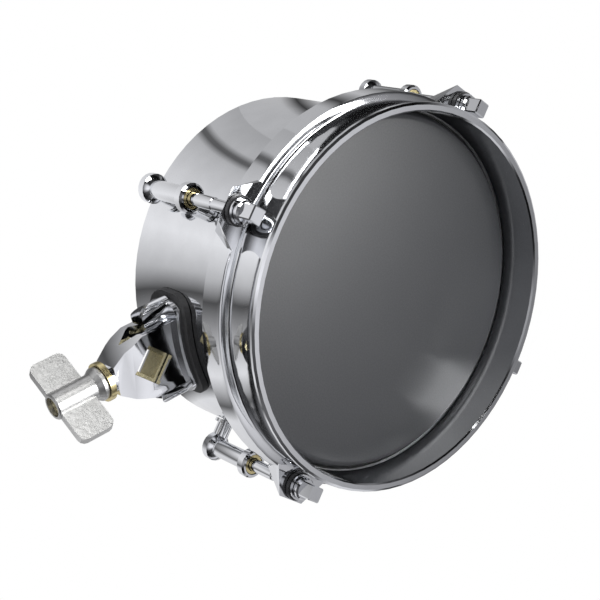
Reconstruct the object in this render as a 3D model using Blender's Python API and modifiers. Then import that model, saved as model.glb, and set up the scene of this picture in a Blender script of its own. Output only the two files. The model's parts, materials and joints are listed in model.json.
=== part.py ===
"""Micro snare drum: chrome steel shell, one film head, pressed counter hoop, four tube lugs,
a rod clamp with a wing nut, and an adjustable snare unit inside.

Frame: the drum axis is Z, the origin is the middle of the playing surface, and the clamp points to -Y.
Every size below is in millimetres times MM.
"""
import math

import bmesh
import bpy
from mathutils import Matrix, Vector

MM = 0.001
GAP = 0.3 * MM
CUT_OVER = 2.0 * MM

# Shell: a steel tube with a turned-in bearing edge on top and a turned-in foot flange below
SHELL_RADIUS = 75.0 * MM
SHELL_WALL = 1.2 * MM
SHELL_HEIGHT = 74.45 * MM
SHELL_STEPS = 72
EDGE_TURN = 2.4 * MM
FOOT_FLANGE = 4.0 * MM

# Head: a black film with a collar, crimped in a flesh hoop
FILM = 0.25 * MM
FILM_FLAT_RADIUS = 73.0 * MM
COLLAR_RADIUS = 77.6 * MM
COLLAR_DEPTH = 10.0 * MM
FLESH_WIDTH = 3.7 * MM
FLESH_HEIGHT = 6.9 * MM
HEAD_STEPS = 60

# Counter hoop: rolled lip, upright wall, flange over the flesh hoop, and a skirt
HOOP_INNER_RADIUS = 78.0 * MM
HOOP_RISE = 15.5 * MM
HOOP_SHEET = 1.8 * MM
LIP_REACH = 3.8 * MM
LIP_DEPTH = 2.0 * MM
SKIRT_RADIUS = 84.5 * MM
SKIRT_SHEET = 1.6 * MM
FLANGE_TOP = -2.0 * MM
SKIRT_DEPTH = 10.5 * MM
HOOP_STEPS = 72

# Pressed ears of the hoop, each over one tension rod
EAR_REACH = 94.0 * MM
EAR_TIP_HALF = 6.8 * MM
EAR_ROOT_HALF = 14.5 * MM
EAR_FOOT_HALF = 9.5 * MM
EAR_ROOT_INSET = 2.5 * MM
EAR_HOLE_RADIUS = 3.5 * MM

# Tension rods with a square key head
ROD_COUNT = 4
ROD_FIRST_ANGLE = math.radians(45.0)
ROD_CIRCLE = 87.5 * MM
ROD_RADIUS = 2.75 * MM
ROD_WAIST_RADIUS = 2.4 * MM
ROD_WAIST_LENGTH = 14.0 * MM
ROD_BELOW_EAR = 52.0 * MM
ROD_COLLAR_RADIUS = 4.8 * MM
ROD_COLLAR = 2.0 * MM
KEY_SQUARE = 6.35 * MM
KEY_HEIGHT = 7.1 * MM
KEY_BEVEL = 0.5 * MM
NYLON_RADIUS = 6.2 * MM
NYLON_THICK = 1.5 * MM
WASHER_RADIUS = 5.6 * MM
WASHER_THICK = 1.2 * MM
SMALL_STEPS = 20
BAND_STEPS = 96
DRILL_STEPS = 12

# Tube lugs: a tube with two round collars, each on a post
LUG_TOP = -30.6 * MM
LUG_SPAN = 25.4 * MM
LUG_COLLAR_RADIUS = 6.25 * MM
LUG_COLLAR_LENGTH = 4.8 * MM
LUG_ROUND = 0.8 * MM
LUG_TUBE_RADIUS = 4.0 * MM
LUG_INSERT_RADIUS = 4.3 * MM
LUG_INSERT_LENGTH = 3.6 * MM
POST_RADIUS = 3.5 * MM
FOOT_RADIUS = 5.0 * MM
FOOT_THICK = 1.6 * MM
LUG_SCREW_RADIUS = 1.8 * MM
LUG_SCREW_BITE = 3.8 * MM
LUG_SCREW_HEAD_RADIUS = 3.5 * MM
LUG_SCREW_HEAD = 2.2 * MM

# Rod clamp on the shell between two lugs
CLAMP_ANGLE = math.radians(-90.0)
CLAMP_Z = -46.0 * MM
GASKET_THICK = 2.6 * MM
GASKET_HALF_WIDE = 23.0 * MM
GASKET_HALF_TALL = 13.0 * MM
GASKET_CORNER = 9.0 * MM
PLATE_THICK = 2.4 * MM
PLATE_HALF_WIDE = 20.5 * MM
PLATE_HALF_TALL = 10.5 * MM
PLATE_CORNER = 7.0 * MM
TOWER_HALF_WIDE = 14.0 * MM
TOWER_HALF_DEEP = 8.0 * MM
TOWER_SHOULDER = 20.0 * MM
TOWER_WAIST = 29.0 * MM
TOWER_WAIST_HALF = 10.5 * MM
TOWER_TOP = 35.0 * MM
NECK_RADIUS = 6.5 * MM
NECK_END = 36.5 * MM
TOWER_WALL = 2.4 * MM
WINDOW_REACH = 18.0 * MM
WINDOW_SQUARE = 12.9 * MM
SIDE_WINDOW_HALF = 5.4 * MM
BOSS_OFFSET = 17.3 * MM
BOSS_RADIUS = 4.6 * MM
BOSS_END = 16.0 * MM
BOSS_BORE_RADIUS = 2.6 * MM
BOSS_BORE_DEPTH = 6.0 * MM
CLAMP_SCREW_RADIUS = 1.7 * MM
CLAMP_SCREW_HEAD = 2.4 * MM
CLAMP_NUT_RADIUS = 4.0 * MM
CLAMP_NUT_THICK = 2.6 * MM
EYE_SQUARE = 13.0 * MM
EYE_HOLE = 9.8 * MM
EYE_HALF_THICK = 5.0 * MM
EYE_BOLT_RADIUS = 3.9 * MM
EYE_BOLT_END = 60.0 * MM
BEARING_RADIUS = 8.4 * MM
BEARING_THICK = 2.4 * MM
WING_BARREL_RADIUS = 5.6 * MM
WING_BARREL_END = 61.8 * MM
WING_FLARE_RADIUS = 7.2 * MM
WING_FLARE = 4.0 * MM
WING_REACH = 19.5 * MM
WING_START = 45.0 * MM
WING_THICK = 3.6 * MM
WING_CORNER = 3.0 * MM
WING_STEP = 0.8 * MM
WING_TURN = math.radians(52.0)

# Snare unit: a cross bar held by two lug screws, an adjuster, and a carrier with wire strands
BAR_ANGLE = math.radians(45.0)
BAR_TOP = -48.0 * MM
BAR_THICK = 2.0 * MM
BAR_WIDE = 13.0 * MM
TAB_THICK = 1.8 * MM
TAB_BELOW_SCREW = 4.5 * MM
SNARE_DROP = 3.0 * MM
ADJUSTER_RADIUS = 2.5 * MM
KNOB_RADIUS = 9.0 * MM
KNOB_HEIGHT = 8.0 * MM
CLIP_RADIUS = 5.0 * MM
CLIP_THICK = 1.0 * MM
STRAND_RADIUS = 0.7 * MM
STRAND_COUNT = 8
STRAND_PITCH = 3.2 * MM
STRAND_LENGTH = 108.0 * MM
STRAND_SINK = 0.25 * MM
END_PLATE_LONG = 9.0 * MM
END_PLATE_THICK = 1.0 * MM
CARRIER_THICK = 1.5 * MM
CARRIER_WIDE = 15.0 * MM
CARRIER_BOSS_RADIUS = 5.0 * MM
CARRIER_BOSS_DEPTH = 6.0 * MM
GUIDE_OFFSET = 21.0 * MM
GUIDE_RADIUS = 1.5 * MM
GUIDE_BELOW_BAR = 7.0 * MM

# Places that follow from the sizes above
SHELL_TOP = -FILM - GAP
SHELL_BOTTOM = SHELL_TOP - SHELL_HEIGHT
SHELL_INNER = SHELL_RADIUS - SHELL_WALL
FLANGE_BOTTOM = FLANGE_TOP - HOOP_SHEET
NYLON_BOTTOM = FLANGE_TOP + GAP
WASHER_BOTTOM = NYLON_BOTTOM + NYLON_THICK + GAP
COLLAR_BOTTOM = WASHER_BOTTOM + WASHER_THICK + GAP
LUG_CUP = LUG_INSERT_LENGTH + 2 * GAP
LUG_CUP_RADIUS = LUG_INSERT_RADIUS + GAP
LUG_BORE_RADIUS = ROD_RADIUS + GAP
POST_UPPER_Z = LUG_TOP - LUG_COLLAR_LENGTH / 2
POST_LOWER_Z = POST_UPPER_Z - LUG_SPAN
GASKET_OUTER = SHELL_RADIUS + GAP + GASKET_THICK
DRILL_START = SHELL_RADIUS - 10 * MM
PLATE_INNER = GASKET_OUTER + GAP
PLATE_OUTER = PLATE_INNER + PLATE_THICK
BEARING_START = NECK_END + GAP
WING_BARREL_START = BEARING_START + BEARING_THICK + GAP
TAB_FACE = SHELL_INNER - 2 * GAP
TAB_INNER = TAB_FACE - TAB_THICK
STRAND_TOP = -FILM - GAP
STRAND_Z = STRAND_TOP - STRAND_RADIUS
END_PLATE_TOP = STRAND_Z - STRAND_RADIUS + STRAND_SINK
CARRIER_TOP = END_PLATE_TOP - END_PLATE_THICK - GAP
CARRIER_BOTTOM = CARRIER_TOP - CARRIER_THICK
BAR_BOTTOM = BAR_TOP - BAR_THICK


def clear_scene():
    for obj in list(bpy.data.objects):
        bpy.data.objects.remove(obj, do_unlink=True)


def make_collection(name):
    coll = bpy.data.collections.new(name)
    bpy.context.scene.collection.children.link(coll)
    return coll


def make_material(name, color, roughness, metallic):
    mat = bpy.data.materials.new(name)
    mat.use_nodes = True
    shader = mat.node_tree.nodes["Principled BSDF"]
    shader.inputs["Base Color"].default_value = (*color, 1.0)
    shader.inputs["Roughness"].default_value = roughness
    shader.inputs["Metallic"].default_value = metallic
    return mat


def finish_mesh(mesh):
    mesh.shade_smooth()
    mesh.set_sharp_from_angle(angle=math.radians(35.0))


def mesh_object(name, mesh):
    obj = bpy.data.objects.new(name, mesh)
    SCRATCH.objects.link(obj)
    return obj


def from_bmesh(name, bm):
    bmesh.ops.recalc_face_normals(bm, faces=bm.faces[:])
    mesh = bpy.data.meshes.new(name)
    bm.to_mesh(mesh)
    bm.free()
    return mesh_object(name, mesh)


def place_axis(axis):
    """Turn +Z to the named axis."""
    turns = {
        "X": Matrix.Rotation(math.pi / 2, 4, "Y"),
        "Y": Matrix.Rotation(-math.pi / 2, 4, "X"),
        "Z": Matrix(),
    }
    return turns[axis]


def cylinder(name, radius, start, end, axis="Z", offset=(0.0, 0.0, 0.0), steps=SMALL_STEPS):
    """A closed cylinder from start to end along an axis, moved by offset."""
    bm = bmesh.new()
    along = Matrix.Translation((0, 0, (start + end) / 2))
    move = Matrix.Translation(Vector(offset)) @ place_axis(axis) @ along
    bmesh.ops.create_cone(bm, cap_ends=True, segments=steps, radius1=radius, radius2=radius,
                          depth=end - start, matrix=move)
    return from_bmesh(name, bm)


def box(name, low, high, turn=None):
    """A closed box between two corners, turned by a matrix if one is given."""
    size = Vector(high) - Vector(low)
    middle = (Vector(high) + Vector(low)) / 2
    bm = bmesh.new()
    bmesh.ops.create_cube(bm, size=1.0, matrix=Matrix.Translation(middle) @ Matrix.Diagonal((*size, 1.0)))
    if turn is not None:
        bmesh.ops.transform(bm, matrix=turn, verts=bm.verts[:])
    return from_bmesh(name, bm)


def hull(name, points):
    """The convex solid around a few corner points."""
    bm = bmesh.new()
    for point in points:
        bm.verts.new(point)
    bmesh.ops.convex_hull(bm, input=bm.verts[:])
    return from_bmesh(name, bm)


def prism(name, outline, low, high, axis="Z"):
    """A flat outline of (a, b) points drawn out along an axis between low and high."""
    bm = bmesh.new()
    face = bm.faces.new([bm.verts.new((a, b, low)) for a, b in outline])
    grown = bmesh.ops.extrude_face_region(bm, geom=[face])
    tops = [item for item in grown["geom"] if isinstance(item, bmesh.types.BMVert)]
    bmesh.ops.translate(bm, vec=(0, 0, high - low), verts=tops)
    if axis == "X":
        order = Matrix(((0, 0, 1, 0), (1, 0, 0, 0), (0, 1, 0, 0), (0, 0, 0, 1)))
        bmesh.ops.transform(bm, matrix=order, verts=bm.verts[:])
    if axis == "Y":
        order = Matrix(((1, 0, 0, 0), (0, 0, 1, 0), (0, 1, 0, 0), (0, 0, 0, 1)))
        bmesh.ops.transform(bm, matrix=order, verts=bm.verts[:])
    return from_bmesh(name, bm)


def rounded_rectangle(half_a, half_b, corner, steps=5):
    """Corner points of a rectangle with round corners, going round once."""
    points = []
    for quarter in range(4):
        turn = quarter * math.pi / 2
        side_a = half_a - corner
        side_b = half_b - corner
        sign_a = 1 if quarter in (0, 3) else -1
        sign_b = 1 if quarter in (0, 1) else -1
        for step in range(steps + 1):
            angle = turn + step * math.pi / 2 / steps
            across = sign_a * side_a + corner * math.cos(angle)
            upward = sign_b * side_b + corner * math.sin(angle)
            points.append((across, upward))
    return points


def turned(name, profile, steps, closed=True):
    """A turned solid: profile is (radius, z), down the outer side first."""
    mesh = bpy.data.meshes.new(name)
    verts = [(radius, 0.0, z) for radius, z in profile]
    edges = [(i, i + 1) for i in range(len(profile) - 1)]
    if closed:
        edges.append((len(profile) - 1, 0))
    mesh.from_pydata(verts, edges, [])
    obj = mesh_object(name, mesh)
    screw = obj.modifiers.new("turn", "SCREW")
    screw.steps = steps
    screw.render_steps = steps
    screw.use_merge_vertices = True
    screw.merge_threshold = 0.00005
    screw.use_smooth_shade = True
    return obj


def ring(name, inner, outer, low, high, steps=SMALL_STEPS):
    return turned(name, [(outer, high), (outer, low), (inner, low), (inner, high)], steps)


def bake(obj):
    """Replace the object's mesh by its evaluated one and drop its modifiers."""
    graph = bpy.context.evaluated_depsgraph_get()
    graph.update()
    mesh = bpy.data.meshes.new_from_object(obj.evaluated_get(graph))
    mesh.transform(obj.matrix_world)
    obj.matrix_world = Matrix()
    obj.modifiers.clear()
    obj.data = mesh
    return obj


def combine(obj, others, operation):
    """Boolean of one object with a list of others, which are used up."""
    for other in others:
        bake(other)
        boolean = obj.modifiers.new("combine", "BOOLEAN")
        boolean.operation = operation
        boolean.solver = "EXACT"
        boolean.object = other
        bake(obj)
        bpy.data.objects.remove(other, do_unlink=True)
    return obj


def unite(obj, *others):
    return combine(obj, others, "UNION")


def cut(obj, *others):
    return combine(obj, others, "DIFFERENCE")


def keep(obj, *others):
    return combine(obj, others, "INTERSECT")


def turn_about_z(obj, angle):
    """Bake a turn about the drum axis into the mesh."""
    bake(obj)
    obj.data.transform(Matrix.Rotation(angle, 4, "Z"))
    return obj


def add_part(name, obj, material, location=(0.0, 0.0, 0.0), angle=0.0):
    """Name a finished piece and put it in the drum's collection."""
    bake(obj)
    finish_mesh(obj.data)
    obj.data.materials.clear()
    obj.data.materials.append(material)
    obj.name = name
    obj.data.name = name
    obj.location = location
    obj.rotation_euler = (0.0, 0.0, angle)
    SCRATCH.objects.unlink(obj)
    DRUM.objects.link(obj)
    return obj


def add_copy(name, source, location, angle):
    """Another object on the same mesh."""
    obj = bpy.data.objects.new(name, source.data)
    obj.location = location
    obj.rotation_euler = (0.0, 0.0, angle)
    DRUM.objects.link(obj)
    return obj


def add_ring_of(name, obj, material, radius=0.0):
    """One piece at each tension rod, numbered from the first rod."""
    first = None
    for index in range(ROD_COUNT):
        angle = rod_angle(index)
        place = (radius * math.cos(angle), radius * math.sin(angle), 0.0)
        label = f"{name}_{index + 1}"
        if first is None:
            first = add_part(label, obj, material, place, angle)
        else:
            add_copy(label, first, place, angle)


def rod_angle(index):
    return ROD_FIRST_ANGLE + index * 2 * math.pi / ROD_COUNT


def at_each_rod(make):
    """A fresh shape from make() turned to each tension rod."""
    return [turn_about_z(make(), rod_angle(index)) for index in range(ROD_COUNT)]


def lug_screw_holes(radius):
    """Radial drills through the shell at every lug post."""
    drills = []
    for index in range(ROD_COUNT):
        for height in (POST_UPPER_Z, POST_LOWER_Z):
            place = (0, 0, height)
            drill = cylinder("drill", radius, DRILL_START, SHELL_RADIUS + CUT_OVER, "X", place, DRILL_STEPS)
            drills.append(turn_about_z(drill, rod_angle(index)))
    return drills


def clamp_drills(radius, start, end):
    """Radial drills at both clamp screws, in the clamp's own frame (X out of the shell)."""
    places = [(0, side * BOSS_OFFSET, CLAMP_Z) for side in (-1, 1)]
    return [cylinder("drill", radius, start, end, "X", place, DRILL_STEPS) for place in places]


def build_shell():
    inner = SHELL_INNER
    profile = [
        (SHELL_RADIUS - EDGE_TURN, SHELL_TOP),
        (SHELL_RADIUS - EDGE_TURN * 0.58, SHELL_TOP - EDGE_TURN * 0.13),
        (SHELL_RADIUS - EDGE_TURN * 0.2, SHELL_TOP - EDGE_TURN * 0.44),
        (SHELL_RADIUS, SHELL_TOP - EDGE_TURN),
        (SHELL_RADIUS, SHELL_BOTTOM + SHELL_WALL),
        (SHELL_RADIUS - SHELL_WALL * 0.9, SHELL_BOTTOM),
        (SHELL_RADIUS - FOOT_FLANGE, SHELL_BOTTOM),
        (SHELL_RADIUS - FOOT_FLANGE, SHELL_BOTTOM + SHELL_WALL),
        (inner - SHELL_WALL * 0.4, SHELL_BOTTOM + SHELL_WALL),
        (inner, SHELL_BOTTOM + SHELL_WALL * 1.6),
        (inner, SHELL_TOP - EDGE_TURN - SHELL_WALL * 0.2),
        (inner - EDGE_TURN * 0.18, SHELL_TOP - EDGE_TURN * 0.95),
        (SHELL_RADIUS - EDGE_TURN, SHELL_TOP - SHELL_WALL),
    ]
    shell = bake(turned("shell", profile, SHELL_STEPS))
    drills = lug_screw_holes(LUG_SCREW_RADIUS + GAP)
    for drill in clamp_drills(CLAMP_SCREW_RADIUS + GAP, DRILL_START, SHELL_RADIUS + CUT_OVER):
        drills.append(turn_about_z(drill, CLAMP_ANGLE))
    cut(shell, *drills)
    add_part("shell", shell, CHROME)


def build_head():
    outer = [
        (0.0, 0.0),
        (FILM_FLAT_RADIUS, 0.0),
        (FILM_FLAT_RADIUS + 1.4 * MM, -0.35 * MM),
        (FILM_FLAT_RADIUS + 2.5 * MM, -1.4 * MM),
        (FILM_FLAT_RADIUS + 3.3 * MM, -3.2 * MM),
        (COLLAR_RADIUS, -COLLAR_DEPTH * 0.6),
        (COLLAR_RADIUS, -COLLAR_DEPTH),
    ]
    inner = [(COLLAR_RADIUS - FILM, -COLLAR_DEPTH)]
    inner += [(COLLAR_RADIUS - FILM, -COLLAR_DEPTH * 0.6)]
    inner += [(radius - FILM * 0.8, z - FILM * 0.8) for radius, z in reversed(outer[2:5])]
    inner += [(FILM_FLAT_RADIUS, -FILM), (0.0, -FILM)]
    add_part("batter_head", turned("batter_head", outer + inner, HEAD_STEPS, closed=False), FILM_BLACK)
    high = FLANGE_BOTTOM - GAP
    inner_edge = COLLAR_RADIUS + GAP
    outer_edge = inner_edge + FLESH_WIDTH
    flesh_hoop = ring("flesh_hoop", inner_edge, outer_edge, high - FLESH_HEIGHT, high, HEAD_STEPS)
    add_part("flesh_hoop", flesh_hoop, ALUMINIUM)


def ear_outer_points(foot_z):
    root = SKIRT_RADIUS - EAR_ROOT_INSET
    rim = FLANGE_TOP - SKIRT_SHEET
    return [
        (root, -EAR_ROOT_HALF, FLANGE_TOP), (root, EAR_ROOT_HALF, FLANGE_TOP),
        (EAR_REACH, -EAR_TIP_HALF, FLANGE_TOP), (EAR_REACH, EAR_TIP_HALF, FLANGE_TOP),
        (SKIRT_RADIUS - 1.5 * MM, -EAR_ROOT_HALF, rim), (SKIRT_RADIUS - 1.5 * MM, EAR_ROOT_HALF, rim),
        (root, -EAR_FOOT_HALF, foot_z), (root, EAR_FOOT_HALF, foot_z),
        (SKIRT_RADIUS + 0.5 * MM, -EAR_FOOT_HALF, foot_z), (SKIRT_RADIUS + 0.5 * MM, EAR_FOOT_HALF, foot_z),
    ]


def ear_pocket_points(foot_z):
    sheet = HOOP_SHEET
    return [
        (HOOP_INNER_RADIUS + 2 * MM, -EAR_ROOT_HALF + 2.5 * MM, FLANGE_BOTTOM),
        (HOOP_INNER_RADIUS + 2 * MM, EAR_ROOT_HALF - 2.5 * MM, FLANGE_BOTTOM),
        (EAR_REACH - 1.6 * sheet, -EAR_TIP_HALF + 1.2 * sheet, FLANGE_BOTTOM),
        (EAR_REACH - 1.6 * sheet, EAR_TIP_HALF - 1.2 * sheet, FLANGE_BOTTOM),
        (HOOP_INNER_RADIUS + 2 * MM, -EAR_FOOT_HALF + sheet, foot_z),
        (HOOP_INNER_RADIUS + 2 * MM, EAR_FOOT_HALF - sheet, foot_z),
        (SKIRT_RADIUS - SKIRT_SHEET - 0.6 * MM, -EAR_FOOT_HALF + sheet, foot_z),
        (SKIRT_RADIUS - SKIRT_SHEET - 0.6 * MM, EAR_FOOT_HALF - sheet, foot_z),
    ]


def build_hoop():
    wall_outer = HOOP_INNER_RADIUS + HOOP_SHEET
    lip_outer = HOOP_INNER_RADIUS + LIP_REACH
    skirt_bottom = FLANGE_TOP - SKIRT_DEPTH
    skirt_inner = SKIRT_RADIUS - SKIRT_SHEET
    profile = [
        (HOOP_INNER_RADIUS + 0.6 * MM, HOOP_RISE),
        (lip_outer - 1.2 * MM, HOOP_RISE),
        (lip_outer - 0.2 * MM, HOOP_RISE - 0.6 * MM),
        (lip_outer, HOOP_RISE - LIP_DEPTH * 0.75),
        (lip_outer - 0.4 * MM, HOOP_RISE - LIP_DEPTH),
        (wall_outer + 0.5 * MM, HOOP_RISE - LIP_DEPTH - 0.3 * MM),
        (wall_outer, HOOP_RISE - LIP_DEPTH - 1.2 * MM),
        (wall_outer, FLANGE_TOP + 1.2 * MM),
        (wall_outer + 0.4 * MM, FLANGE_TOP + 0.3 * MM),
        (wall_outer + 1.2 * MM, FLANGE_TOP),
        (SKIRT_RADIUS - 1.6 * MM, FLANGE_TOP),
        (SKIRT_RADIUS - 0.4 * MM, FLANGE_TOP - 0.5 * MM),
        (SKIRT_RADIUS, FLANGE_TOP - 1.7 * MM),
        (SKIRT_RADIUS, skirt_bottom),
        (skirt_inner, skirt_bottom),
        (skirt_inner, FLANGE_BOTTOM - 0.4 * MM),
        (skirt_inner - 0.6 * MM, FLANGE_BOTTOM),
        (HOOP_INNER_RADIUS + 1.2 * MM, FLANGE_BOTTOM),
        (HOOP_INNER_RADIUS, FLANGE_BOTTOM + 1.2 * MM),
        (HOOP_INNER_RADIUS, HOOP_RISE - 0.7 * MM),
    ]
    hoop = bake(turned("counter_hoop", profile, HOOP_STEPS))
    unite(hoop, *at_each_rod(lambda: hull("ear", ear_outer_points(skirt_bottom))))
    pocket_foot = skirt_bottom - CUT_OVER
    cut(hoop, *at_each_rod(lambda: hull("pocket", ear_pocket_points(pocket_foot))))
    top = FLANGE_TOP + CUT_OVER
    place = (ROD_CIRCLE, 0, 0)
    cut(hoop, *at_each_rod(lambda: cylinder("drill", EAR_HOLE_RADIUS, pocket_foot, top, "Z", place, 16)))
    add_part("counter_hoop", hoop, CHROME)


def build_tension_rods():
    head_bottom = COLLAR_BOTTOM + ROD_COLLAR
    head_top = head_bottom + KEY_HEIGHT
    waist_end = FLANGE_TOP - ROD_WAIST_LENGTH
    rod_end = FLANGE_TOP - ROD_BELOW_EAR
    profile = [
        (0.0, head_bottom + 0.5 * MM),
        (ROD_COLLAR_RADIUS - 0.6 * MM, head_bottom + 0.5 * MM),
        (ROD_COLLAR_RADIUS, head_bottom - 0.3 * MM),
        (ROD_COLLAR_RADIUS, COLLAR_BOTTOM),
        (ROD_WAIST_RADIUS, COLLAR_BOTTOM),
        (ROD_WAIST_RADIUS, waist_end),
        (ROD_RADIUS, waist_end - 0.5 * MM),
        (ROD_RADIUS, rod_end + 0.6 * MM),
        (ROD_RADIUS - 0.6 * MM, rod_end),
        (0.0, rod_end),
    ]
    rod = bake(turned("tension_rod", profile, SMALL_STEPS, closed=False))
    half = KEY_SQUARE / 2
    key = box("key", (-half, -half, head_bottom), (half, half, head_top))
    bevel = key.modifiers.new("edges", "BEVEL")
    bevel.width = KEY_BEVEL
    bevel.segments = 1
    unite(rod, key)
    add_ring_of("tension_rod", rod, CHROME, ROD_CIRCLE)
    bore = ROD_RADIUS + GAP
    nylon = ring("nylon_washer", bore, NYLON_RADIUS, NYLON_BOTTOM, NYLON_BOTTOM + NYLON_THICK)
    add_ring_of("nylon_washer", nylon, NYLON, ROD_CIRCLE)
    washer = ring("rod_washer", bore, WASHER_RADIUS, WASHER_BOTTOM, WASHER_BOTTOM + WASHER_THICK)
    add_ring_of("rod_washer", washer, CHROME, ROD_CIRCLE)


def build_lugs():
    lug_bottom = LUG_TOP - LUG_SPAN - LUG_COLLAR_LENGTH
    upper_end = LUG_TOP - LUG_COLLAR_LENGTH
    lower_start = lug_bottom + LUG_COLLAR_LENGTH
    rim = LUG_COLLAR_RADIUS - LUG_ROUND
    profile = [
        (LUG_CUP_RADIUS, LUG_TOP),
        (rim, LUG_TOP),
        (LUG_COLLAR_RADIUS, LUG_TOP - LUG_ROUND),
        (LUG_COLLAR_RADIUS, upper_end + LUG_ROUND),
        (rim, upper_end),
        (LUG_TUBE_RADIUS, upper_end - LUG_ROUND),
        (LUG_TUBE_RADIUS, lower_start + LUG_ROUND),
        (rim, lower_start),
        (LUG_COLLAR_RADIUS, lower_start - LUG_ROUND),
        (LUG_COLLAR_RADIUS, lug_bottom + LUG_ROUND),
        (rim, lug_bottom),
        (LUG_BORE_RADIUS, lug_bottom),
        (LUG_BORE_RADIUS, LUG_TOP - LUG_CUP),
        (LUG_CUP_RADIUS, LUG_TOP - LUG_CUP),
    ]
    lug = bake(turned("lug", profile, SMALL_STEPS))
    foot_face = SHELL_RADIUS + GAP - ROD_CIRCLE
    for height in (POST_UPPER_Z, POST_LOWER_Z):
        post_end = -LUG_CUP_RADIUS - 0.4 * MM
        post = cylinder("post", POST_RADIUS, foot_face, post_end, "X", (0, 0, height), 16)
        foot = cylinder("foot", FOOT_RADIUS, foot_face, foot_face + FOOT_THICK, "X", (0, 0, height), 16)
        unite(lug, post, foot)
        hole = LUG_SCREW_RADIUS + GAP
        bite_end = foot_face + LUG_SCREW_BITE + GAP
        cut(lug, cylinder("drill", hole, foot_face - CUT_OVER, bite_end, "X", (0, 0, height), DRILL_STEPS))
    add_ring_of("lug", lug, CHROME, ROD_CIRCLE)
    insert_top = LUG_TOP - GAP
    insert_end = insert_top - LUG_INSERT_LENGTH
    insert = ring("lug_insert", LUG_BORE_RADIUS, LUG_INSERT_RADIUS, insert_end, insert_top, 16)
    add_ring_of("lug_insert", insert, BRASS, ROD_CIRCLE)


def lug_screw(seat, height):
    """A pan screw along X, its head against a seat inside the shell, its tip in a lug post."""
    tip = SHELL_RADIUS + GAP + LUG_SCREW_BITE
    screw = cylinder("screw", LUG_SCREW_RADIUS, seat - LUG_SCREW_HEAD / 2, tip, "X", (0, 0, height), 12)
    head = cylinder("head", LUG_SCREW_HEAD_RADIUS, seat - LUG_SCREW_HEAD, seat, "X", (0, 0, height), 16)
    return unite(screw, head)


def holds_bar(index):
    """The cross bar is held at the two rods that lie on its line."""
    return abs(math.sin(rod_angle(index) - BAR_ANGLE)) < 0.01


def build_lug_screws():
    plain_seat = SHELL_INNER - 2 * GAP
    bar_seat = TAB_INNER - GAP
    for index in range(ROD_COUNT):
        angle = rod_angle(index)
        add_part(f"lug_screw_upper_{index + 1}", lug_screw(plain_seat, POST_UPPER_Z), STEEL, angle=angle)
        seat = bar_seat if holds_bar(index) else plain_seat
        add_part(f"lug_screw_lower_{index + 1}", lug_screw(seat, POST_LOWER_Z), STEEL, angle=angle)


def shell_band(name, inner, outer):
    """A wide band round the drum, for cutting pieces that follow the shell."""
    tall = GASKET_HALF_TALL + 4 * MM
    return ring(name, inner, outer, CLAMP_Z - tall, CLAMP_Z + tall, BAND_STEPS)


def clamp_slab(name, half_wide, half_tall, corner, inner, outer):
    """A rounded plate that follows the shell between two radii."""
    outline = [(y, z + CLAMP_Z) for y, z in rounded_rectangle(half_wide, half_tall, corner)]
    slab = prism(name, outline, SHELL_RADIUS - 12 * MM, outer + 2 * CUT_OVER, "X")
    return keep(slab, shell_band("band", inner, outer))


def build_clamp():
    inner = SHELL_RADIUS + GAP
    gasket = clamp_slab("gasket", GASKET_HALF_WIDE, GASKET_HALF_TALL, GASKET_CORNER, inner, GASKET_OUTER)
    cut(gasket, *clamp_drills(CLAMP_SCREW_RADIUS + GAP, DRILL_START, GASKET_OUTER + CUT_OVER))
    add_part("clamp_gasket", gasket, RUBBER, angle=CLAMP_ANGLE)
    add_part("clamp_body", clamp_body(), CHROME, angle=CLAMP_ANGLE)
    build_clamp_screws()
    build_eye_bolt()
    build_wing_nut()


def tower_side(reach_half):
    """Outline (distance out, across) of the clamp tower, as wide as reach_half at its base."""
    base = PLATE_INNER - 3 * MM
    shoulder = SHELL_RADIUS + TOWER_SHOULDER
    waist = SHELL_RADIUS + TOWER_WAIST
    top = SHELL_RADIUS + TOWER_TOP
    waist_half = reach_half * TOWER_WAIST_HALF / TOWER_HALF_WIDE
    neck = NECK_RADIUS - 0.2 * MM
    half = [(base, reach_half), (shoulder, reach_half), (waist, waist_half), (top, neck)]
    return half + [(out, -across) for out, across in reversed(half)]


def diamond(middle, half_out, half_across):
    near, far = middle - half_out, middle + half_out
    return [(near, 0.0), (middle, half_across), (far, 0.0), (middle, -half_across)]


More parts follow.
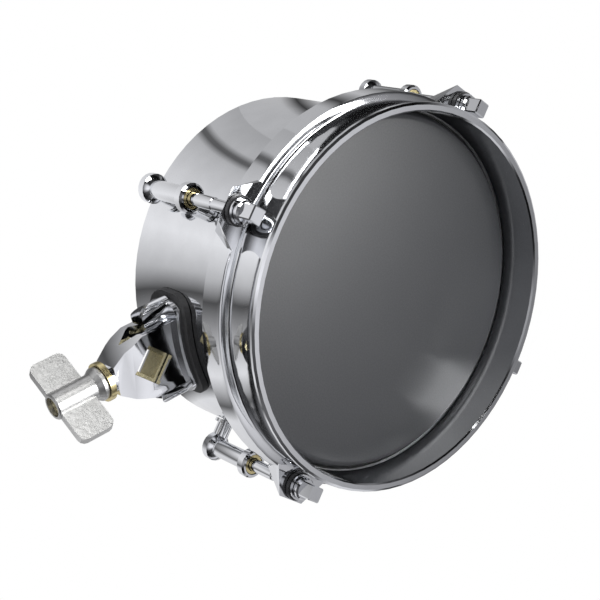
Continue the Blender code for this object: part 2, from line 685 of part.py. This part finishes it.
def clamp_body():
    body = clamp_slab("body", PLATE_HALF_WIDE, PLATE_HALF_TALL, PLATE_CORNER, PLATE_INNER, PLATE_OUTER)
    tower = prism("tower", tower_side(TOWER_HALF_WIDE), CLAMP_Z - TOWER_HALF_DEEP, CLAMP_Z + TOWER_HALF_DEEP)
    depth = [(out, across + CLAMP_Z) for out, across in tower_side(TOWER_HALF_DEEP + 1.5 * MM)]
    slim = prism("slim", depth, -TOWER_HALF_WIDE - CUT_OVER, TOWER_HALF_WIDE + CUT_OVER, "Y")
    keep(tower, slim)
    start = SHELL_RADIUS + TOWER_WAIST
    neck = cylinder("neck", NECK_RADIUS, start, SHELL_RADIUS + NECK_END, "X", (0, 0, CLAMP_Z))
    bosses = [cylinder("boss", BOSS_RADIUS, PLATE_INNER - 3 * MM, SHELL_RADIUS + BOSS_END, "X",
                       (0, side * BOSS_OFFSET, CLAMP_Z), 24) for side in (-1, 1)]
    unite(tower, neck, *bosses)
    sunk = PLATE_INNER + PLATE_THICK / 3
    cut(tower, ring("under", SHELL_RADIUS - 20 * MM, sunk, CLAMP_Z - 40 * MM, CLAMP_Z + 40 * MM, BAND_STEPS))
    unite(body, tower)
    roof = SHELL_RADIUS + TOWER_WAIST - TOWER_WALL + 0.6 * MM
    room_half = EYE_SQUARE * math.sqrt(0.5) + 1.4 * MM
    cavity = box("room", (SHELL_RADIUS - 5 * MM, -room_half, CLAMP_Z - TOWER_HALF_DEEP + TOWER_WALL),
                 (roof, room_half, CLAMP_Z + TOWER_HALF_DEEP - TOWER_WALL))
    reach = WINDOW_SQUARE * math.sqrt(0.5)
    window = SHELL_RADIUS + WINDOW_REACH
    front = prism("front", diamond(window, reach, reach), CLAMP_Z - 20 * MM, CLAMP_Z + 20 * MM)
    side_outline = [(out, across + CLAMP_Z) for out, across in diamond(window, reach, SIDE_WINDOW_HALF)]
    side = prism("side", side_outline, -30 * MM, 30 * MM, "Y")
    mouth = SHELL_RADIUS + NECK_END + CUT_OVER
    bore = cylinder("bore", EYE_BOLT_RADIUS + GAP, window, mouth, "X", (0, 0, CLAMP_Z))
    cut(body, cavity, front, side, bore)
    boss_bottom = SHELL_RADIUS + BOSS_END - BOSS_BORE_DEPTH
    cut(body, *clamp_drills(BOSS_BORE_RADIUS, boss_bottom, SHELL_RADIUS + BOSS_END + CUT_OVER))
    cut(body, *clamp_drills(CLAMP_SCREW_RADIUS + GAP, SHELL_RADIUS, boss_bottom + CUT_OVER))
    return body


def build_clamp_screws():
    seat = SHELL_RADIUS + BOSS_END - BOSS_BORE_DEPTH + GAP
    nut_top = math.sqrt(SHELL_INNER ** 2 - (BOSS_OFFSET + CLAMP_NUT_RADIUS) ** 2) - GAP
    nut_bottom = nut_top - CLAMP_NUT_THICK
    for number, side in ((1, -1), (2, 1)):
        offset = (0, side * BOSS_OFFSET, CLAMP_Z)
        screw = cylinder("screw", CLAMP_SCREW_RADIUS, nut_bottom - 1 * MM, seat + 1 * MM, "X", offset, 12)
        head = cylinder("head", BOSS_BORE_RADIUS - GAP, seat, seat + CLAMP_SCREW_HEAD, "X", offset, 12)
        add_part(f"clamp_screw_{number}", unite(screw, head), STEEL, angle=CLAMP_ANGLE)
        nut = cylinder("nut", CLAMP_NUT_RADIUS, nut_bottom, nut_top, "X", offset, 6)
        low, high = nut_bottom - CUT_OVER, nut_top + CUT_OVER
        cut(nut, cylinder("drill", CLAMP_SCREW_RADIUS + GAP, low, high, "X", offset, DRILL_STEPS))
        add_part(f"clamp_nut_{number}", nut, STEEL, angle=CLAMP_ANGLE)


def build_eye_bolt():
    window = SHELL_RADIUS + WINDOW_REACH
    outer = EYE_SQUARE * math.sqrt(0.5)
    hole = EYE_HOLE * math.sqrt(0.5)
    low, high = CLAMP_Z - EYE_HALF_THICK, CLAMP_Z + EYE_HALF_THICK
    root = window + outer - 2 * MM
    shank = cylinder("eye_bolt", EYE_BOLT_RADIUS, root, SHELL_RADIUS + EYE_BOLT_END, "X", (0, 0, CLAMP_Z))
    unite(shank, prism("eye", diamond(window, outer, outer), low, high))
    cut(shank, prism("hole", diamond(window, hole, hole), low - CUT_OVER, high + CUT_OVER))
    add_part("eye_bolt", shank, ZINC, angle=CLAMP_ANGLE)


def build_wing_nut():
    bore = EYE_BOLT_RADIUS + GAP
    start = SHELL_RADIUS + BEARING_START
    along = Matrix.Translation((0, 0, CLAMP_Z)) @ place_axis("X")
    bearing = bake(ring("bearing", bore, BEARING_RADIUS, start, start + BEARING_THICK, 24))
    bearing.data.transform(along)
    add_part("clamp_bearing", bearing, BRASS, angle=CLAMP_ANGLE)
    low = SHELL_RADIUS + WING_BARREL_START
    high = SHELL_RADIUS + WING_BARREL_END
    profile = [
        (bore, high),
        (WING_BARREL_RADIUS - 0.6 * MM, high),
        (WING_BARREL_RADIUS, high - 0.6 * MM),
        (WING_BARREL_RADIUS, low + WING_FLARE),
        (WING_FLARE_RADIUS, low + WING_FLARE * 0.4),
        (WING_FLARE_RADIUS, low),
        (bore, low),
    ]
    nut = bake(turned("wing_nut", profile, 24))
    nut.data.transform(along)
    wing_low = SHELL_RADIUS + WING_START
    wing_high = high - WING_STEP
    outline = [(out + (wing_low + wing_high) / 2, across)
               for out, across in rounded_rectangle((wing_high - wing_low) / 2, WING_REACH, WING_CORNER, 3)]
    wings = prism("wings", outline, -WING_THICK / 2, WING_THICK / 2)
    wings.data.transform(Matrix.Translation((0, 0, CLAMP_Z)) @ Matrix.Rotation(WING_TURN, 4, "X"))
    eye = WING_BARREL_RADIUS - 0.8 * MM
    cut(wings, cylinder("drill", eye, wing_low - CUT_OVER, high + CUT_OVER, "X", (0, 0, CLAMP_Z), 24))
    unite(nut, wings)
    add_part("wing_nut", nut, CAST, angle=CLAMP_ANGLE)


def build_cross_bar():
    half = BAR_WIDE / 2
    reach = math.sqrt(TAB_INNER ** 2 - half ** 2)
    bar = box("bar", (-reach - 1 * MM, -half, BAR_BOTTOM), (reach + 1 * MM, half, BAR_TOP))
    tab_bottom = POST_LOWER_Z - TAB_BELOW_SCREW
    for side in (-1, 1):
        tab = box("tab", (min(side * 60 * MM, side * 80 * MM), -half, tab_bottom),
                  (max(side * 60 * MM, side * 80 * MM), half, BAR_TOP))
        keep(tab, ring("band", TAB_INNER, TAB_FACE, tab_bottom - CUT_OVER, BAR_TOP + CUT_OVER, BAND_STEPS))
        unite(bar, tab)
        cut(bar, screw_drill(side))
    cut(bar, cylinder("drill", ADJUSTER_RADIUS + GAP, BAR_BOTTOM - CUT_OVER, BAR_TOP + CUT_OVER, steps=16))
    for side in (-1, 1):
        offset = (side * GUIDE_OFFSET, 0, 0)
        low, high = BAR_BOTTOM - CUT_OVER, BAR_TOP + CUT_OVER
        cut(bar, cylinder("drill", GUIDE_RADIUS + GAP, low, high, "Z", offset, DRILL_STEPS))
    add_part("snare_cross_bar", bar, STEEL, angle=BAR_ANGLE)


def screw_drill(side):
    """The hole in one end tab of the cross bar for its lug screw."""
    near, far = TAB_INNER - CUT_OVER, TAB_FACE + CUT_OVER
    low, high = sorted((side * near, side * far))
    return cylinder("drill", LUG_SCREW_RADIUS + GAP, low, high, "X", (0, 0, POST_LOWER_Z), 12)


def build_adjuster():
    knob_top = BAR_BOTTOM - GAP
    knob_bottom = knob_top - KNOB_HEIGHT
    screw_top = CARRIER_TOP - SNARE_DROP - GAP
    bore = ADJUSTER_RADIUS + GAP
    shaft = cylinder("snare_adjuster", ADJUSTER_RADIUS, knob_bottom + 1 * MM, screw_top, steps=16)
    add_part("snare_adjuster", shaft, BRASS)
    knob = ring("adjuster_knob", bore, KNOB_RADIUS, knob_bottom, knob_top, 20)
    add_part("adjuster_knob", knob, STEEL)
    clip = ring("adjuster_clip", bore, CLIP_RADIUS, BAR_TOP + GAP, BAR_TOP + GAP + CLIP_THICK, 16)
    add_part("adjuster_clip", clip, STEEL)


def build_carrier():
    half_long = STRAND_LENGTH / 2
    half_wide = CARRIER_WIDE / 2
    arm = GUIDE_OFFSET + GUIDE_RADIUS + 3 * MM
    far = (half_wide, half_long, CARRIER_TOP)
    carrier = box("snare_carrier", (-half_wide, -half_long, CARRIER_BOTTOM), far)
    arms = box("arms", (-arm, -half_wide * 0.7, CARRIER_BOTTOM), (arm, half_wide * 0.7, CARRIER_TOP))
    boss = cylinder("boss", CARRIER_BOSS_RADIUS, CARRIER_BOTTOM - CARRIER_BOSS_DEPTH, CARRIER_TOP, steps=16)
    unite(carrier, arms, boss)
    low = CARRIER_BOTTOM - CARRIER_BOSS_DEPTH - CUT_OVER
    cut(carrier, cylinder("drill", ADJUSTER_RADIUS + GAP, low, CARRIER_TOP + CUT_OVER, steps=16))
    add_part("snare_carrier", carrier, STEEL, angle=BAR_ANGLE)
    pin_bottom = BAR_BOTTOM - GUIDE_BELOW_BAR
    for number, side in ((1, -1), (2, 1)):
        place = (side * GUIDE_OFFSET, 0, 0)
        pin = cylinder("pin", GUIDE_RADIUS, pin_bottom, CARRIER_BOTTOM - GAP, "Z", place, DRILL_STEPS)
        add_part(f"guide_pin_{number}", pin, STEEL, angle=BAR_ANGLE)


def build_strands():
    half_long = STRAND_LENGTH / 2
    width = (STRAND_COUNT - 1) * STRAND_PITCH
    plate_half = width / 2 + STRAND_PITCH / 2
    plates = []
    for side in (-1, 1):
        near, far = sorted((side * (half_long - END_PLATE_LONG), side * half_long))
        low, high = END_PLATE_TOP - END_PLATE_THICK, END_PLATE_TOP
        plates.append(box("plate", (-plate_half, near, low), (plate_half, far, high)))
    strands, second_plate = plates
    for number in range(STRAND_COUNT):
        across = -width / 2 + number * STRAND_PITCH
        end = half_long - 1 * MM
        unite(strands, cylinder("wire", STRAND_RADIUS, -end, end, "Y", (across, 0, STRAND_Z), 8))
    unite(strands, second_plate)
    add_part("snare_strands", strands, STEEL, angle=BAR_ANGLE)


clear_scene()
DRUM = make_collection("micro_snare_drum")
SCRATCH = make_collection("working_shapes")
CHROME = make_material("chrome", (0.86, 0.87, 0.88), 0.06, 1.0)
CAST = make_material("satin_cast", (0.78, 0.78, 0.77), 0.32, 1.0)
STEEL = make_material("zinc_steel", (0.62, 0.63, 0.64), 0.3, 1.0)
ZINC = make_material("yellow_zinc", (0.72, 0.66, 0.42), 0.28, 1.0)
BRASS = make_material("brass", (0.78, 0.66, 0.36), 0.25, 1.0)
ALUMINIUM = make_material("aluminium", (0.72, 0.73, 0.74), 0.35, 1.0)
FILM_BLACK = make_material("black_film", (0.045, 0.047, 0.05), 0.42, 0.0)
NYLON = make_material("black_nylon", (0.02, 0.02, 0.02), 0.4, 0.0)
RUBBER = make_material("rubber", (0.018, 0.019, 0.02), 0.6, 0.0)

build_shell()
build_head()
build_hoop()
build_tension_rods()
build_lugs()
build_lug_screws()
build_clamp()
build_cross_bar()
build_adjuster()
build_carrier()
build_strands()
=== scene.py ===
import json
import math

import bpy
from mathutils import Matrix, Vector


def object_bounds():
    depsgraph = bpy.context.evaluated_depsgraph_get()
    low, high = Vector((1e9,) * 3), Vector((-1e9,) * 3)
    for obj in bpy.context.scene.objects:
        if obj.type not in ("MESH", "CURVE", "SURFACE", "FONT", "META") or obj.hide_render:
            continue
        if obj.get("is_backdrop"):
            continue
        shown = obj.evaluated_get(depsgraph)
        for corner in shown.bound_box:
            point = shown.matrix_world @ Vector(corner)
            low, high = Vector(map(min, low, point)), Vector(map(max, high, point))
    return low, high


# Camera, as fitted to the photo
CAMERA_PLACE = (-0.2352, -0.3305, 0.3949)
CAMERA_RIGHT = (0.18006, 0.74487, 0.64245)
CAMERA_UP = (-0.89450, 0.39569, -0.20807)
CAMERA_BACK = (-0.40920, -0.53721, 0.73754)
CAMERA_LENS = 80.8
CAMERA_SENSOR = 36.0
CAMERA_NEAR = 0.01
CAMERA_FAR = 20.0

# Shading over facets
WELD_REACH = 0.000001
SHARP_ANGLE = math.radians(30.0)

# Floor and lights; each light is name, place, size, power, and whether chrome mirrors it
FLOOR_REACH = 3.0
FLOOR_DROP = 0.0002
LIGHT_AIM = (0.0, 0.0, -0.03)
LIGHTS = [
    ("key_top", (-0.1, 0.25, 0.75), (0.6, 0.6), 7.0, True),
    ("fill_left", (-0.8, -0.1, 0.35), (0.5, 0.5), 4.0, True),
    ("fill_front", (0.15, -0.8, 0.3), (0.4, 0.5), 3.0, False),
]

# What chrome mirrors: (position, brightness) by height in the sky, round the sky, and round the floor
SKY_BY_HEIGHT = [
    (0.0, 0.75), (0.4, 0.5), (0.46, 0.05), (0.52, 0.04), (0.56, 0.8), (0.64, 1.0), (0.7, 0.1),
    (0.74, 0.08), (0.79, 0.12), (0.85, 0.45), (0.92, 1.0), (1.0, 1.0),
]
SKY_BY_BEARING = [
    (0.0, 0.04), (0.08, 0.05), (0.13, 0.8), (0.22, 1.0), (0.3, 0.1), (0.38, 0.06), (0.46, 0.6),
    (0.58, 0.9), (0.68, 1.0), (0.76, 0.5), (0.82, 0.05), (1.0, 0.04),
]
FLOOR_BY_BEARING = [
    (0.0, 0.42), (0.035, 0.5), (0.045, 0.03), (0.055, 0.5), (0.1, 0.72), (0.15, 0.9), (0.19, 0.55),
    (0.215, 0.08), (0.24, 0.3), (0.3, 0.85), (0.34, 0.12), (0.36, 0.8), (0.5, 0.5), (0.6, 0.1),
    (0.75, 0.6), (0.86, 0.12), (0.9, 0.55), (0.93, 0.04), (0.95, 0.5),
]
BLUE_TINGE = 1.02
WHITE = (1.0, 1.0, 1.0, 1.0)

# Sockets of a colour Mix node, which have the same names as its other sockets
MIX_FIRST = 6
MIX_SECOND = 7
MIX_RESULT = 2

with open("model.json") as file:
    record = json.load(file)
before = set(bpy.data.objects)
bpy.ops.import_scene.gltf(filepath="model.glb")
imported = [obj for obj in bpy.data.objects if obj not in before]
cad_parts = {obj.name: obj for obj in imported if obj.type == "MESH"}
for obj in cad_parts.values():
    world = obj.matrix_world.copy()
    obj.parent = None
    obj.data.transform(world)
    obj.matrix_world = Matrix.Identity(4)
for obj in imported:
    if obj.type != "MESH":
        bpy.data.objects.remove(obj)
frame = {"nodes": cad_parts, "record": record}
low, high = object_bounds()
nodes = frame["nodes"]


class Maker:
    """A procedural material under construction."""

    def __init__(self, name, roughness, metallic):
        self.mat = bpy.data.materials.new(name)
        self.mat.use_nodes = True
        self.tree = self.mat.node_tree
        self.shader = self.tree.nodes["Principled BSDF"]
        self.shader.inputs["Roughness"].default_value = roughness
        self.shader.inputs["Metallic"].default_value = metallic
        coords = self.tree.nodes.new("ShaderNodeTexCoord")
        self.place = coords.outputs["Object"]

    def link(self, source, target):
        self.tree.links.new(source, target)

    def noise(self, scale, detail=4.0):
        node = self.tree.nodes.new("ShaderNodeTexNoise")
        node.inputs["Scale"].default_value = scale
        node.inputs["Detail"].default_value = detail
        self.link(self.place, node.inputs["Vector"])
        return node.outputs["Fac"]

    def ramp(self, value, stops):
        node = self.tree.nodes.new("ShaderNodeValToRGB")
        points = node.color_ramp.elements
        while len(points) < len(stops):
            points.new(0.5)
        for point, (position, color) in zip(points, stops):
            point.position = position
            point.color = (*color, 1.0)
        self.link(value, node.inputs["Fac"])
        return node.outputs["Color"]

    def spread(self, value, low_end, high_end):
        node = self.tree.nodes.new("ShaderNodeMapRange")
        node.inputs["To Min"].default_value = low_end
        node.inputs["To Max"].default_value = high_end
        self.link(value, node.inputs["Value"])
        return node.outputs["Result"]

    def bump(self, value, strength, distance):
        node = self.tree.nodes.new("ShaderNodeBump")
        node.inputs["Strength"].default_value = strength
        node.inputs["Distance"].default_value = distance
        self.link(value, node.inputs["Height"])
        self.link(node.outputs["Normal"], self.shader.inputs["Normal"])

    def color(self, source):
        self.link(source, self.shader.inputs["Base Color"])

    def roughness(self, source):
        self.link(source, self.shader.inputs["Roughness"])


def chrome(name, tint, base):
    """Mirror plate with a faint haze and slight waviness."""
    m = Maker(name, base, 1.0)
    haze = m.noise(90.0, 5.0)
    dark = tuple(part * 0.94 for part in tint)
    m.color(m.ramp(haze, [(0.35, dark), (0.7, tint)]))
    m.roughness(m.spread(m.noise(260.0, 3.0), base * 0.6, base * 2.2))
    m.bump(m.noise(38.0, 2.0), 0.05, 0.0004)
    return m.mat


def satin_metal(name, tint, base, depth=0.12):
    """Plated or cast metal with a fine grain."""
    m = Maker(name, base, 1.0)
    fine = m.noise(700.0, 4.0)
    dark = tuple(part * 0.82 for part in tint)
    m.color(m.ramp(fine, [(0.3, dark), (0.68, tint)]))
    m.roughness(m.spread(m.noise(220.0, 4.0), base * 0.75, base * 1.35))
    m.bump(fine, depth, 0.0002)
    return m.mat


def head_film():
    """Dark satin film with a fine speckle."""
    m = Maker("black_head_film", 0.4, 0.0)
    m.shader.inputs["Coat Weight"].default_value = 0.15
    m.shader.inputs["Coat Roughness"].default_value = 0.35
    speck = m.noise(1500.0, 3.0)
    m.color(m.ramp(speck, [(0.3, (0.018, 0.019, 0.021)), (0.75, (0.034, 0.035, 0.038))]))
    m.roughness(m.spread(m.noise(60.0, 4.0), 0.36, 0.46))
    m.bump(speck, 0.18, 0.00012)
    return m.mat


def dark_plastic(name, color, base, depth):
    """Black nylon or rubber with a fine grain."""
    m = Maker(name, base, 0.0)
    speck = m.noise(900.0, 4.0)
    light = tuple(part * 1.7 for part in color)
    m.color(m.ramp(speck, [(0.35, color), (0.75, light)]))
    m.roughness(m.spread(m.noise(300.0, 3.0), base * 0.85, base * 1.15))
    m.bump(speck, depth, 0.00015)
    return m.mat


def smooth_facets(obj):
    """Rounds the shading over a turned piece's facets and keeps its edges sharp."""
    if "custom_normal" in obj.data.attributes:
        obj.data.attributes.remove(obj.data.attributes["custom_normal"])
    obj.data.shade_smooth()
    weld = obj.modifiers.new("weld", "WELD")
    weld.merge_threshold = WELD_REACH
    split = obj.modifiers.new("split", "EDGE_SPLIT")
    split.split_angle = SHARP_ANGLE


looks = {
    "chrome": chrome("chrome_plate", (0.86, 0.87, 0.89), 0.05),
    "satin_cast": satin_metal("satin_casting", (0.66, 0.66, 0.65), 0.34, depth=0.2),
    "zinc_steel": satin_metal("zinc_plated_steel", (0.6, 0.61, 0.62), 0.3),
    "yellow_zinc": satin_metal("yellow_zinc_plate", (0.74, 0.66, 0.4), 0.26),
    "brass": satin_metal("brass_bright", (0.8, 0.68, 0.36), 0.22),
    "aluminium": satin_metal("aluminium_ring", (0.7, 0.71, 0.72), 0.34),
    "black_film": head_film(),
    "black_nylon": dark_plastic("black_nylon_grain", (0.012, 0.012, 0.013), 0.38, 0.15),
    "rubber": dark_plastic("black_rubber_grain", (0.012, 0.012, 0.013), 0.6, 0.3),
}
slots = {entry["node"]: entry["material_slot"] for entry in frame["record"]["subparts"]}
for name, obj in nodes.items():
    smooth_facets(obj)
    look = looks[slots[name]]
    if not obj.material_slots:
        obj.data.materials.append(look)
    for place in obj.material_slots:
        place.material = look


def place_camera():
    """The photo's camera."""
    data = bpy.data.cameras.new("photo_camera")
    data.lens = CAMERA_LENS
    data.sensor_width = CAMERA_SENSOR
    data.clip_start = CAMERA_NEAR
    data.clip_end = CAMERA_FAR
    data.dof.use_dof = False
    camera = bpy.data.objects.new("photo_camera", data)
    bpy.context.scene.collection.objects.link(camera)
    turn = Matrix((CAMERA_RIGHT, CAMERA_UP, CAMERA_BACK)).transposed().to_4x4()
    camera.matrix_world = Matrix.Translation(CAMERA_PLACE) @ turn
    bpy.context.scene.camera = camera


def area_light(name, place, size, power, mirrored):
    """A soft panel turned to the drum."""
    data = bpy.data.lights.new(name, "AREA")
    data.shape = "RECTANGLE"
    data.size = size[0]
    data.size_y = size[1]
    data.energy = power
    light = bpy.data.objects.new(name, data)
    bpy.context.scene.collection.objects.link(light)
    light.location = place
    away = light.location - Vector(LIGHT_AIM)
    light.rotation_euler = away.to_track_quat("Z", "Y").to_euler()
    light.visible_glossy = mirrored
    light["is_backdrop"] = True


def ramp_of(tree, source, stops):
    """A grey ramp driven by a 0 to 1 value."""
    ramp = tree.nodes.new("ShaderNodeValToRGB")
    points = ramp.color_ramp.elements
    while len(points) < len(stops):
        points.new(0.5)
    for point, (position, value) in zip(points, stops):
        point.position = position
        point.color = (value, value, value * BLUE_TINGE, 1.0)
    tree.links.new(source, ramp.inputs["Fac"])
    return ramp.outputs["Color"]


def bearing_of(tree, source):
    """0 to 1 round the drum axis, 0.5 towards +X."""
    node = tree.nodes.new("ShaderNodeTexGradient")
    node.gradient_type = "RADIAL"
    tree.links.new(source, node.inputs["Vector"])
    return node.outputs["Fac"]


def product(tree, first, second):
    """One colour times another."""
    node = tree.nodes.new("ShaderNodeMix")
    node.data_type = "RGBA"
    node.blend_type = "MULTIPLY"
    node.inputs["Factor"].default_value = 1.0
    tree.links.new(first, node.inputs[MIX_FIRST])
    tree.links.new(second, node.inputs[MIX_SECOND])
    return node.outputs[MIX_RESULT]


def studio_world():
    """White to the camera; for reflections a bright room with dark panels between the lights."""
    world = bpy.data.worlds.new("studio")
    bpy.context.scene.world = world
    world.use_nodes = True
    tree = world.node_tree
    background = tree.nodes["Background"]
    coords = tree.nodes.new("ShaderNodeTexCoord")
    split = tree.nodes.new("ShaderNodeSeparateXYZ")
    tree.links.new(coords.outputs["Generated"], split.inputs["Vector"])
    remap = tree.nodes.new("ShaderNodeMapRange")
    remap.inputs["From Min"].default_value = -1.0
    remap.inputs["From Max"].default_value = 1.0
    tree.links.new(split.outputs["Z"], remap.inputs["Value"])
    height = ramp_of(tree, remap.outputs["Result"], SKY_BY_HEIGHT)
    round_about = ramp_of(tree, bearing_of(tree, coords.outputs["Generated"]), SKY_BY_BEARING)
    pattern = product(tree, height, round_about)
    path = tree.nodes.new("ShaderNodeLightPath")
    mix = tree.nodes.new("ShaderNodeMix")
    mix.data_type = "RGBA"
    tree.links.new(path.outputs["Is Glossy Ray"], mix.inputs["Factor"])
    mix.inputs[MIX_FIRST].default_value = WHITE
    tree.links.new(pattern, mix.inputs[MIX_SECOND])
    tree.links.new(mix.outputs[MIX_RESULT], background.inputs["Color"])
    background.inputs["Strength"].default_value = 1.0


def pale_floor():
    """A white floor that shows grey panels in the chrome's reflections."""
    mesh = bpy.data.meshes.new("floor")
    level = low[2] - FLOOR_DROP
    corners = [(x * FLOOR_REACH, y * FLOOR_REACH, level) for x, y in ((-1, -1), (1, -1), (1, 1), (-1, 1))]
    mesh.from_pydata(corners, [], [(0, 1, 2, 3)])
    floor = bpy.data.objects.new("floor", mesh)
    bpy.context.scene.collection.objects.link(floor)
    mat = bpy.data.materials.new("floor_white")
    mat.use_nodes = True
    tree = mat.node_tree
    shader = tree.nodes["Principled BSDF"]
    shader.inputs["Base Color"].default_value = (0.9, 0.9, 0.9, 1.0)
    shader.inputs["Roughness"].default_value = 0.9
    output = tree.nodes["Material Output"]
    path = tree.nodes.new("ShaderNodeLightPath")
    coords = tree.nodes.new("ShaderNodeTexCoord")
    panels = ramp_of(tree, bearing_of(tree, coords.outputs["Object"]), FLOOR_BY_BEARING)
    grey = tree.nodes.new("ShaderNodeEmission")
    tree.links.new(panels, grey.inputs["Color"])
    white = tree.nodes.new("ShaderNodeEmission")
    white.inputs["Color"].default_value = WHITE
    glossy = tree.nodes.new("ShaderNodeMixShader")
    tree.links.new(path.outputs["Is Glossy Ray"], glossy.inputs["Fac"])
    tree.links.new(shader.outputs["BSDF"], glossy.inputs[1])
    tree.links.new(grey.outputs["Emission"], glossy.inputs[2])
    mix = tree.nodes.new("ShaderNodeMixShader")
    tree.links.new(path.outputs["Is Camera Ray"], mix.inputs["Fac"])
    tree.links.new(glossy.outputs["Shader"], mix.inputs[1])
    tree.links.new(white.outputs["Emission"], mix.inputs[2])
    tree.links.new(mix.outputs["Shader"], output.inputs["Surface"])
    mesh.materials.append(mat)
    floor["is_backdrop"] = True


place_camera()
studio_world()
pale_floor()
for light_facts in LIGHTS:
    area_light(*light_facts)
bpy.context.scene.view_settings.view_transform = "Standard"

low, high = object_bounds()
